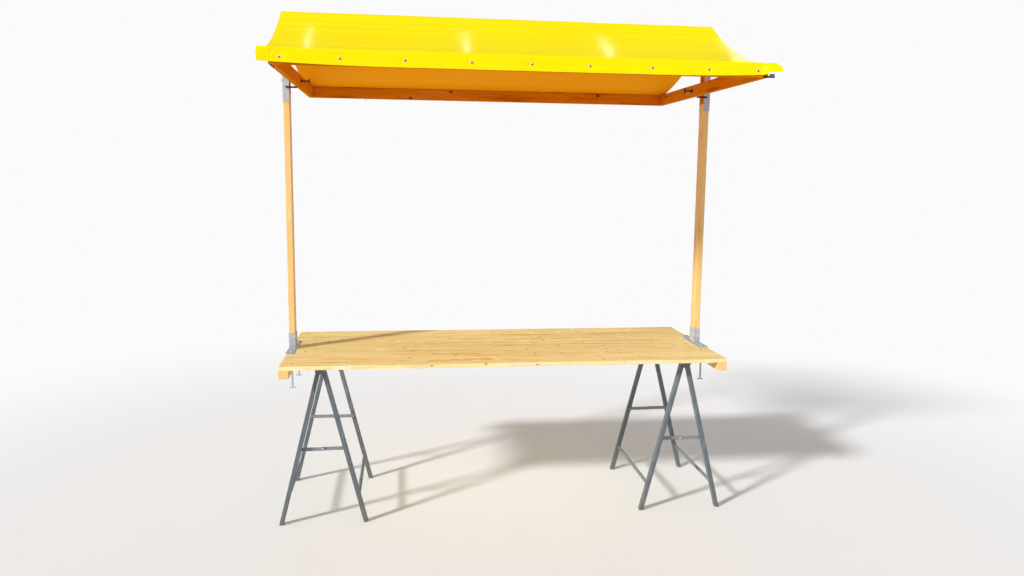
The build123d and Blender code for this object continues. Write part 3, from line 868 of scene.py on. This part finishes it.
def arm_screws(shape, hand, side):
    """The screws that hold the back rail between the arms, seen on the arms' outer faces."""
    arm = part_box(f"{hand}_arm")
    face = max(arm[0].x * side, arm[1].x * side) * side
    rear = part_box("back_rail")
    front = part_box("front_rail")
    for z in (rear[0].z + ARM_SCREW_INSET, rear[1].z - ARM_SCREW_INSET):
        turned(shape, SMALL_HEAD, (face, (rear[0].y + rear[1].y) / 2, z), (side, 0, 0), 16)
    if side < 0:
        middle = (arm[0].x + arm[1].x) / 2
        for y in (front[0].y + TIP_STEPS[0], front[1].y + TIP_STEPS[1]):
            turned(shape, SCREW_TIP, (middle, y, arm[0].z + HEAD_SINK), (0, 0, -1), 10)


def rail_nails(shape):
    """Nail heads in the back rail's front face."""
    low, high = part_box("back_rail")
    for x, up in NAIL_PLACES:
        turned(shape, NAIL_HEAD, (x, low.y + HEAD_SINK, low.z + up), (0, -1, 0), 12)


def corner_plate(shape):
    """A dark plate screwed to the front rail's right end, under the hem, which reaches past the arm; its near
    black is partly painted shade under the hem.
    """
    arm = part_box("right_arm")
    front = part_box("front_rail")[0]
    face = front.y - PLATE_THICK
    start = arm[0].x + PLATE_INSET
    bar(shape, (start, face, front.z + PLATE_LIFT),
        (arm[1].x + PLATE_REACH, front.y - PLATE_SEAT, front.z + PLATE_HEIGHT), SHEET_ROUND)
    turned(shape, BIG_HEAD, (start + PLATE_SCREW, face, front.z + PLATE_HEIGHT / 2), (0, -1, 0), 16)


def corner_clip(shape):
    """The grey clip that stands on the free end of the corner plate, in a grey darker than its zinc as
    painted shade.
    """
    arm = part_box("right_arm")
    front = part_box("front_rail")[0]
    bar(shape, (arm[1].x + CLIP_START, front.y - PLATE_THICK - CLIP_FRONT, front.z + CLIP_FOOT),
        (arm[1].x + PLATE_REACH - CLIP_SHORT, front.y + CLIP_BACK, front.z + CLIP_HEIGHT), CLIP_ROUND)


def bolt_washer(shape, hand, side):
    """The square washer under the arm bolt, on the arm's inner face."""
    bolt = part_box(f"{hand}_arm_bolt")
    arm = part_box(f"{hand}_arm")
    face = min(abs(arm[0].x), abs(arm[1].x)) * side
    middle = (bolt[0] + bolt[1]) / 2
    x = sorted((face, face - side * WASHER_THICK))
    bar(shape, (x[0], middle.y - BOLT_WASHER, middle.z - BOLT_WASHER),
        (x[1], middle.y + BOLT_WASHER, middle.z + BOLT_WASHER), SHEET_ROUND)


def rivet_highlight_caps(shape, hand, side):
    """Bright zinc caps on the rivets in the middle of the stays: their brightness is a painted highlight."""
    low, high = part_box(f"{hand}_outer_stays")
    x = low.x + STAY_HALF if side > 0 else high.x - STAY_HALF
    z = (low.z + high.z) / 2
    for y, way in ((low.y + RIVET_STEP, -1), (high.y - RIVET_STEP, 1)):
        turned(shape, RIVET_CAP, (x, y, z), (0, way, 0), 16)


class STALL_OT_finish_fittings(bpy.types.Operator):
    """Finishes the steel fittings and adds threads, small screws, washers, rivet caps and nails"""
    bl_idname = "stall.finish_fittings"
    bl_label = "Finish fittings"

    def execute(self, context):
        look = context.scene.stall_steel
        zinc = galvanised("zinc")
        # This near-black steel, on bolts, pins, screws, nails, washers and the corner plate, is partly
        # painted shade and painted dark reflections.
        dark = dark_screw("browned_and_shaded_steel", look.bolt_shade_colour[:])
        for name, radius in (("foot_socket", 0.0008), ("top_channel", 0.0006), ("clamp_bar", 0.001),
                             ("clamp_screws", 0.0006)):
            dress(both(name), zinc, radius)
        for name in ("arm_bolt", "rest_pin"):
            dress(both(name), dark, 0.0006)

        def add(name, maker, material, body="stall"):
            shade(new_piece(name, maker, material, body))

        for hand, side in HANDS:
            add(f"{hand}_clamp_threads", lambda shape: clamp_threads(shape, hand, look.thread_pitch), zinc)
            add(f"{hand}_arm_screws", lambda shape: arm_screws(shape, hand, side), dark)
            add(f"{hand}_bolt_washer", lambda shape: bolt_washer(shape, hand, side), dark)
            # The bright rivet caps are painted highlights.
            add(f"{hand}_stay_rivet_caps", lambda shape: rivet_highlight_caps(shape, hand, side), zinc,
                f"{hand}_outer_links")
        add("back_rail_nails", rail_nails, dark)
        add("right_corner_plate", corner_plate, dark)
        # The clip's darker grey is painted shade.
        add("right_corner_clip", corner_clip, trestle_paint("clip_steel_painted_shade", look.tube_colour[:]))
        return {"FINISHED"}


class STALL_OT_finish_trestles(bpy.types.Operator):
    """Paints the folding trestles and their stays, and adds the weld beads at their joints"""
    bl_idname = "stall.finish_trestles"
    bl_label = "Finish trestles"

    def execute(self, context):
        look = context.scene.stall_steel
        paint = trestle_paint("trestle_paint", look.paint_colour[:])
        lighter = trestle_paint("stretcher_paint", look.tube_colour[:])
        for half in ("outer", "inner"):
            for name, material in (("rail", paint), ("front_leg", paint), ("rear_leg", paint),
                                   ("stretcher", lighter), ("stays", lighter)):
                dress(both(f"{half}_{name}"), material, 0.0006 if name == "stays" else 0.0012)
        for hand, _ in HANDS:
            for half, body in (("outer", "stall"), ("inner", f"{hand}_inner_half")):
                low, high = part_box(f"{hand}_{half}_stretcher")

                def beads(shape):
                    middle = (low + high) / 2
                    for y, way in ((low.y, 1), (high.y, -1)):
                        weld_ring(shape, (middle.x, y, middle.z), way, (high.z - low.z) / 2)
                shade(new_piece(f"{hand}_{half}_welds", beads, paint, body), 60)
        return {"FINISHED"}


def weld_ring(shape, centre, way, radius, bead=0.0022, count=40):
    """Adds a bead of weld round a tube's end, lumpy as a hand weld is."""
    source = random.Random(round(centre[0] * 1e4) + round(centre[1] * 1e4))
    rings = []
    for step in range(count):
        angle = math.tau * step / count
        outward = Vector((math.cos(angle), 0, math.sin(angle)))
        size = bead * source.uniform(0.75, 1.15)
        rings.append([shape.verts.new(Vector(centre) + outward * (radius + size * out)
                                      + Vector((0, way * size * up, 0)))
                      for out, up in ((-0.2, 1.1), (0.45, 0.8), (0.85, 0.4), (1.05, 0.0))])
    for ring, after in zip(rings, rings[1:] + rings[:1]):
        for low in range(len(ring) - 1):
            shape.faces.new((ring[low], ring[low + 1], after[low + 1], after[low]))


# Studio

CAMERA_PLACE = (-0.464, -3.7855, 1.563)
CAMERA_TURN = math.radians(7.538)
CAMERA_DIP = math.radians(7.764)
CAMERA_ROLL = math.radians(0.658)
CAMERA_LENS = 28.875
SENSOR = 36.0
KEY_FROM = (-0.74, -0.48, 0.48)
KEY_SPREAD = math.radians(6)
KEY_DISTANCE = 6
FLOOR_HALF = 14.0
# The ceiling in glossy surfaces: the heights between which it fades, and its strength below and above
CEILING = (0.04, 0.2, 0.5, 0.03)
WHITE = 0.96
# Distances from the stall at which the floor starts to run into the background and has done so
FADE = (1.9, 4.6)
# Where strip lamps gleam in the canopy: place across it, each lamp's width and its share of the power
GLEAMS = ((-0.83, 0.08, 0.8), (-0.2, 0.08, 0.8), (0.38, 0.08, 1.1), (0.96, 0.28, 2.2))
GLEAM_Y = -0.42
GLEAM_Z = 2.1
GLEAM_RISE = math.radians(23)
GLEAM_DISTANCE = 6.0
GLEAM_HEIGHT = 4.7


def aim(piece, place, target):
    piece.location = place
    piece.rotation_mode = "QUATERNION"
    piece.rotation_quaternion = (Vector(target) - Vector(place)).to_track_quat("-Z", "Y")


def lamp(name, kind, **settings):
    data = bpy.data.lights.new(name, kind)
    for key, value in settings.items():
        setattr(data, key, value)
    return placed(name, data)


def build_world(ambient):
    """Even light all round, a white background, and a dim ceiling in glossy surfaces."""
    world = bpy.data.worlds.new("studio")
    bpy.context.scene.world = world
    world.use_nodes = True
    nodes, links = world.node_tree.nodes, world.node_tree.links
    nodes.clear()
    path = nodes.new("ShaderNodeLightPath")
    place = nodes.new("ShaderNodeTexCoord")
    split = nodes.new("ShaderNodeSeparateXYZ")
    links.new(place.outputs["Generated"], split.inputs[0])
    ceiling = nodes.new("ShaderNodeMapRange")
    for name, value in zip(("From Min", "From Max", "To Min", "To Max"), CEILING):
        ceiling.inputs[name].default_value = value
    links.new(split.outputs["Z"], ceiling.inputs["Value"])

    def choose(flag, yes, no):
        node = nodes.new("ShaderNodeMix")
        links.new(flag, node.inputs[0])
        for socket, value in ((node.inputs[2], no), (node.inputs[3], yes)):
            if isinstance(value, bpy.types.NodeSocket):
                links.new(value, socket)
            else:
                socket.default_value = value
        return node.outputs[0]

    strength = choose(path.outputs["Is Glossy Ray"], ceiling.outputs["Result"], ambient)
    seen = nodes.new("ShaderNodeMath")
    seen.operation = "MAXIMUM"
    links.new(path.outputs["Is Camera Ray"], seen.inputs[0])
    links.new(path.outputs["Is Transmission Ray"], seen.inputs[1])
    strength = choose(seen.outputs[0], WHITE, strength)
    background = nodes.new("ShaderNodeBackground")
    background.inputs["Color"].default_value = (1, 1, 1, 1)
    links.new(strength, background.inputs["Strength"])
    output = nodes.new("ShaderNodeOutputWorld")
    links.new(background.outputs[0], output.inputs["Surface"])


class STALL_OT_set_studio(bpy.types.Operator):
    """Lays the pale floor, sets the soft lamps and places the camera"""
    bl_idname = "stall.set_studio"
    bl_label = "Set studio"

    def execute(self, context):
        look = context.scene.stall_studio
        mesh = bpy.data.meshes.new("floor")
        corners = [(x * FLOOR_HALF, y * FLOOR_HALF, 0) for x, y in ((-1, -1), (1, -1), (1, 1), (-1, 1))]
        mesh.from_pydata(corners, [], [(0, 1, 2, 3)])
        floor = placed("floor", mesh)
        floor.data.materials.append(plain_floor("pale_floor"))
        build_world(look.ambient)
        key = lamp("key", "SUN", energy=look.key_strength, angle=KEY_SPREAD)
        aim(key, Vector(KEY_FROM) * KEY_DISTANCE, (0, 0, 0))
        for number, (x, width, power_share) in enumerate(GLEAMS):
            target = Vector((x, GLEAM_Y, GLEAM_Z))
            view = target - Vector(CAMERA_PLACE)
            across = view.x / math.hypot(view.y, view.z)
            away = Vector((across, math.cos(GLEAM_RISE), math.sin(GLEAM_RISE)))
            place = target + away * GLEAM_DISTANCE
            strip = lamp(f"strip_{number}", "AREA", energy=look.gleam_power * power_share,
                         shape="RECTANGLE", size=width, size_y=GLEAM_HEIGHT)
            aim(strip, place, (place.x, GLEAM_Y, GLEAM_Z))
            strip.visible_camera = False
        data = bpy.data.cameras.new("camera")
        data.lens = CAMERA_LENS
        data.sensor_width = SENSOR
        camera = placed("camera", data)
        camera.matrix_world = (Matrix.Translation(CAMERA_PLACE) @ Matrix.Rotation(-CAMERA_TURN, 4, "Z")
                               @ Matrix.Rotation(math.radians(90) - CAMERA_DIP, 4, "X")
                               @ Matrix.Rotation(CAMERA_ROLL, 4, "Z"))
        context.scene.camera = camera
        context.scene.view_settings.view_transform = "Standard"
        return {"FINISHED"}


class STALL_PT_sidebar(bpy.types.Panel):
    """Lists the stall's steps and settings in the 3D view's sidebar"""
    bl_idname = "STALL_PT_sidebar"
    bl_label = "Market stall"
    bl_space_type = "VIEW_3D"
    bl_region_type = "UI"
    bl_category = "Stall"

    def draw(self, context):
        for step in STEPS:
            self.layout.operator(step.bl_idname)
        for name in SETTINGS:
            box = self.layout.box()
            group = getattr(context.scene, name)
            for key in group.bl_rna.properties.keys():
                if key not in ("rna_type", "name"):
                    box.prop(group, key)


SETTINGS = {"stall_timber": TimberSettings, "stall_cloth": ClothSettings, "stall_steel": SteelSettings,
            "stall_studio": StudioSettings}
STEPS = (STALL_OT_set_studio, STALL_OT_finish_table, STALL_OT_finish_uprights, STALL_OT_finish_roof,
         STALL_OT_hang_canopy, STALL_OT_fix_canopy, STALL_OT_finish_fittings, STALL_OT_finish_trestles)


def register():
    for item in (*SETTINGS.values(), *STEPS, STALL_PT_sidebar):
        bpy.utils.register_class(item)
    for name, group in SETTINGS.items():
        setattr(bpy.types.Scene, name, PointerProperty(type=group))


def unregister():
    for name in SETTINGS:
        delattr(bpy.types.Scene, name)
    for item in reversed((*SETTINGS.values(), *STEPS, STALL_PT_sidebar)):
        bpy.utils.unregister_class(item)


def main():
    register()
    bpy.ops.stall.set_studio()
    bpy.ops.stall.finish_table()
    bpy.ops.stall.finish_uprights()
    bpy.ops.stall.finish_roof()
    bpy.ops.stall.hang_canopy()
    bpy.ops.stall.fix_canopy()
    bpy.ops.stall.finish_fittings()
    bpy.ops.stall.finish_trestles()


if __name__ == "__main__":
    main()
